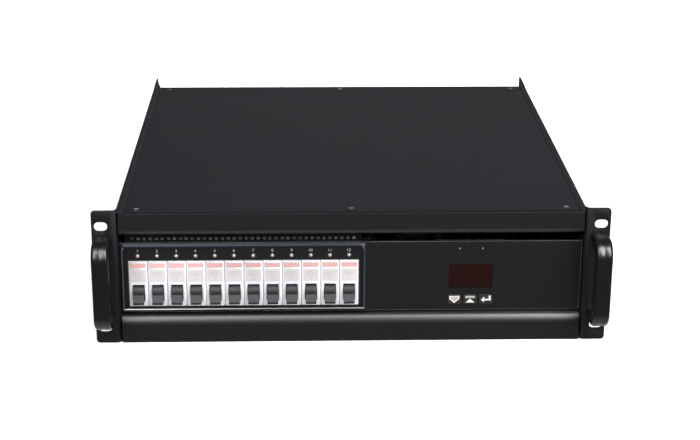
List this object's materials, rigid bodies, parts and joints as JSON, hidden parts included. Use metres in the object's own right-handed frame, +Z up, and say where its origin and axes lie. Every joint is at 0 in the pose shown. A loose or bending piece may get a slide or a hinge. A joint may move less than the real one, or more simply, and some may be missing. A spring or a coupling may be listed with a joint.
{
  "type": "dimmer pack",
  "caption": "Three-unit rack dimmer pack with a row of breakers behind a trim frame, a small display with keys, front handles, rear fans and terminals.",
  "frame": {"origin": "on the floor plane, midway between the front of the handles and the tips of the rear wings, and midway between the ears", "axes": "+X to the right seen from the front, +Y from the front to the rear, +Z up"},
  "size_m": [0.4826, 0.515, 0.1325],
  "materials": {
    "black_powder_coat": "fine satin powder coat on folded steel sheet",
    "satin_black_panel": "smooth satin black paint on aluminium",
    "cast_black_handle": "semi-gloss black on a cast aluminium handle",
    "bezel_trim": "polished dark trim",
    "grille_strip": "satin black perforated strip",
    "breaker_plastic": "smooth moulded thermoset",
    "lever_plastic": "moulded dark plastic",
    "zinc_plate": "bright zinc plate",
    "circuit_board": "green solder resist",
    "tinted_window": "polished dark red filter",
    "key_caps": "moulded caps",
    "fan_plastic": "moulded glass-filled plastic",
    "socket_metal": "satin nickel-coloured coat on die-cast shell",
    "latch_metal": "bright tab",
    "gland_nylon": "moulded nylon",
    "terminal_plastic": "moulded insulating plastic",
    "heatsink_aluminium": "plain extruded finish",
    "choke_windings": "varnished copper wire over ring cores"
  },
  "bodies": {
    "chassis": {"left_side_panel": "black_powder_coat", "right_side_panel": "black_powder_coat", "base_pan": "black_powder_coat", "top_cover": "black_powder_coat", "rear_panel": "black_powder_coat", "upper_front_rail": "satin_black_panel", "lower_front_rail": "satin_black_panel", "front_panel": "satin_black_panel", "left_handle": "cast_black_handle", "right_handle": "cast_black_handle", "breaker_bezel": "bezel_trim", "air_grille": "grille_strip", "breaker_01": "breaker_plastic", "breaker_02": "breaker_plastic", "breaker_03": "breaker_plastic", "breaker_04": "breaker_plastic", "breaker_05": "breaker_plastic", "breaker_06": "breaker_plastic", "breaker_07": "breaker_plastic", "breaker_08": "breaker_plastic", "breaker_09": "breaker_plastic", "breaker_10": "breaker_plastic", "breaker_11": "breaker_plastic", "breaker_12": "breaker_plastic", "din_rail": "zinc_plate", "breaker_bracket": "zinc_plate", "indicator_board": "circuit_board", "display_board": "circuit_board", "left_power_board": "circuit_board", "right_power_board": "circuit_board", "control_board": "circuit_board", "display_window": "tinted_window", "left_fan_frame": "fan_plastic", "right_fan_frame": "fan_plastic", "signal_input_socket": "socket_metal", "signal_output_socket": "socket_metal", "supply_gland": "gland_nylon", "output_terminal_block": "terminal_plastic", "supply_terminal_block": "terminal_plastic", "left_heatsink": "heatsink_aluminium", "right_heatsink": "heatsink_aluminium", "choke_bank": "choke_windings"},
    "breaker_lever_01": {"breaker_lever_01": "lever_plastic"},
    "breaker_lever_02": {"breaker_lever_02": "lever_plastic"},
    "breaker_lever_03": {"breaker_lever_03": "lever_plastic"},
    "breaker_lever_04": {"breaker_lever_04": "lever_plastic"},
    "breaker_lever_05": {"breaker_lever_05": "lever_plastic"},
    "breaker_lever_06": {"breaker_lever_06": "lever_plastic"},
    "breaker_lever_07": {"breaker_lever_07": "lever_plastic"},
    "breaker_lever_08": {"breaker_lever_08": "lever_plastic"},
    "breaker_lever_09": {"breaker_lever_09": "lever_plastic"},
    "breaker_lever_10": {"breaker_lever_10": "lever_plastic"},
    "breaker_lever_11": {"breaker_lever_11": "lever_plastic"},
    "breaker_lever_12": {"breaker_lever_12": "lever_plastic"},
    "key_down": {"key_down": "key_caps"},
    "key_up": {"key_up": "key_caps"},
    "key_enter": {"key_enter": "key_caps"},
    "left_fan_rotor": {"left_fan_rotor": "fan_plastic"},
    "right_fan_rotor": {"right_fan_rotor": "fan_plastic"},
    "output_latch": {"output_latch": "latch_metal"}
  },
  "joints": [
    {"name": "breaker_switch_01", "type": "hinge", "parent": "chassis", "child": "breaker_lever_01", "pos_m": [-0.2004, -0.2115, 0.04775], "axis": [-1, 0, 0], "range_deg": [0, 70]},
    {"name": "breaker_switch_02", "type": "hinge", "parent": "chassis", "child": "breaker_lever_02", "pos_m": [-0.1824, -0.2115, 0.04775], "axis": [-1, 0, 0], "range_deg": [0, 70]},
    {"name": "breaker_switch_03", "type": "hinge", "parent": "chassis", "child": "breaker_lever_03", "pos_m": [-0.1644, -0.2115, 0.04775], "axis": [-1, 0, 0], "range_deg": [0, 70]},
    {"name": "breaker_switch_04", "type": "hinge", "parent": "chassis", "child": "breaker_lever_04", "pos_m": [-0.1464, -0.2115, 0.04775], "axis": [-1, 0, 0], "range_deg": [0, 70]},
    {"name": "breaker_switch_05", "type": "hinge", "parent": "chassis", "child": "breaker_lever_05", "pos_m": [-0.1284, -0.2115, 0.04775], "axis": [-1, 0, 0], "range_deg": [0, 70]},
    {"name": "breaker_switch_06", "type": "hinge", "parent": "chassis", "child": "breaker_lever_06", "pos_m": [-0.1104, -0.2115, 0.04775], "axis": [-1, 0, 0], "range_deg": [0, 70]},
    {"name": "breaker_switch_07", "type": "hinge", "parent": "chassis", "child": "breaker_lever_07", "pos_m": [-0.0924, -0.2115, 0.04775], "axis": [-1, 0, 0], "range_deg": [0, 70]},
    {"name": "breaker_switch_08", "type": "hinge", "parent": "chassis", "child": "breaker_lever_08", "pos_m": [-0.0744, -0.2115, 0.04775], "axis": [-1, 0, 0], "range_deg": [0, 70]},
    {"name": "breaker_switch_09", "type": "hinge", "parent": "chassis", "child": "breaker_lever_09", "pos_m": [-0.0564, -0.2115, 0.04775], "axis": [-1, 0, 0], "range_deg": [0, 70]},
    {"name": "breaker_switch_10", "type": "hinge", "parent": "chassis", "child": "breaker_lever_10", "pos_m": [-0.0384, -0.2115, 0.04775], "axis": [-1, 0, 0], "range_deg": [0, 70]},
    {"name": "breaker_switch_11", "type": "hinge", "parent": "chassis", "child": "breaker_lever_11", "pos_m": [-0.0204, -0.2115, 0.04775], "axis": [-1, 0, 0], "range_deg": [0, 70]},
    {"name": "breaker_switch_12", "type": "hinge", "parent": "chassis", "child": "breaker_lever_12", "pos_m": [-0.0024, -0.2115, 0.04775], "axis": [-1, 0, 0], "range_deg": [0, 70]},
    {"name": "key_down_press", "type": "slide", "parent": "chassis", "child": "key_down", "axis": [0, 1, 0], "range_m": [0, 0.0007], "stiffness_N_per_m": 400},
    {"name": "key_up_press", "type": "slide", "parent": "chassis", "child": "key_up", "axis": [0, 1, 0], "range_m": [0, 0.0007], "stiffness_N_per_m": 400},
    {"name": "key_enter_press", "type": "slide", "parent": "chassis", "child": "key_enter", "axis": [0, 1, 0], "range_m": [0, 0.0007], "stiffness_N_per_m": 400},
    {"name": "left_fan_spin", "type": "hinge", "parent": "chassis", "child": "left_fan_rotor", "pos_m": [-0.165, 0.2045, 0.06625], "axis": [0, 1, 0], "continuous": true},
    {"name": "right_fan_spin", "type": "hinge", "parent": "chassis", "child": "right_fan_rotor", "pos_m": [0.165, 0.2045, 0.06625], "axis": [0, 1, 0], "continuous": true},
    {"name": "output_latch_press", "type": "slide", "parent": "chassis", "child": "output_latch", "axis": [0, -1, 0], "range_m": [0, 0.0012], "stiffness_N_per_m": 300}
  ]
}
